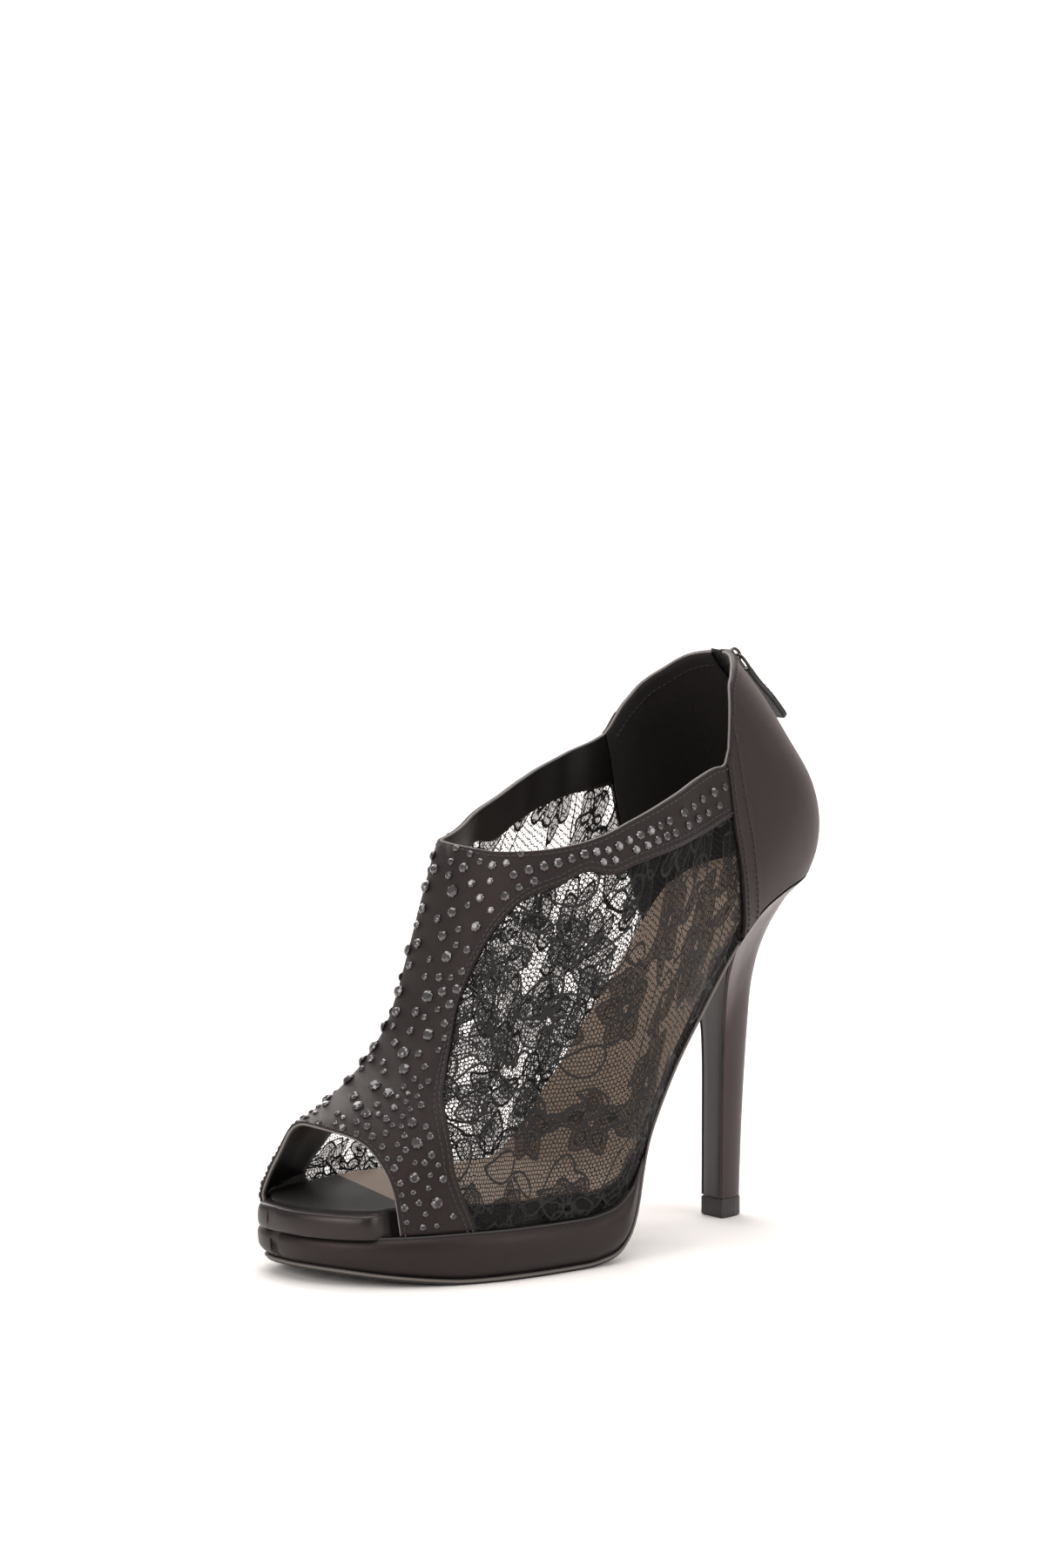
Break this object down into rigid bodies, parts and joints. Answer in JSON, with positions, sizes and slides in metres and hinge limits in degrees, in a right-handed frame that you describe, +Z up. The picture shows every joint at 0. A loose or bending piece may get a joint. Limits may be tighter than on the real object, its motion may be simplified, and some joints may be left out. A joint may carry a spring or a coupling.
{
  "type": "peep-toe ankle shoe",
  "caption": "Left peep-toe ankle shoe with lace sides, a stone-set satin strap and collar, a closed back zip, a hidden platform and a tall covered heel.",
  "frame": {"origin": "on the tread under the ball of the foot, on the last's centre line", "axes": "+Z up from the floor, the toe points along -Y and the heel along +Y, +X is the outer side of the left foot"},
  "size_m": [0.083, 0.2152, 0.1943],
  "materials": {
    "outsole": "thin black sole sheet with a paler cut edge",
    "platform": "black satin wrap with a fine twill",
    "insole": "black satin wrapped rim",
    "sock": "beige smooth lining",
    "upper": "black lace over net with dark lining",
    "vamp_strap": "black satin set with faceted dark stones",
    "counter_lateral": "black satin",
    "counter_medial": "black satin",
    "zip_tape": "black woven tape with fine teeth",
    "slider": "dark gunmetal",
    "pull_link": "dark gunmetal",
    "pull_tab": "black leather",
    "heel": "satin covered, slightly glossy",
    "breast_cover": "smooth black",
    "top_piece": "dark grey hard plastic"
  },
  "bodies": {
    "shoe": {"outsole": "outsole", "platform": "platform", "insole": "insole", "sock": "sock", "upper": "upper", "vamp_strap": "vamp_strap", "counter_lateral": "counter_lateral", "counter_medial": "counter_medial", "zip_tape": "zip_tape", "slider": "slider", "heel": "heel", "breast_cover": "breast_cover", "top_piece": "top_piece"},
    "pull": {"pull_link": "pull_link", "pull_tab": "pull_tab"}
  },
  "joints": [
    {"name": "pull_hinge", "type": "hinge", "parent": "shoe", "child": "pull", "pos_m": [0, 0.11913, 0.19124], "axis": [1, 0, 0], "range_deg": [-8, 150]}
  ]
}
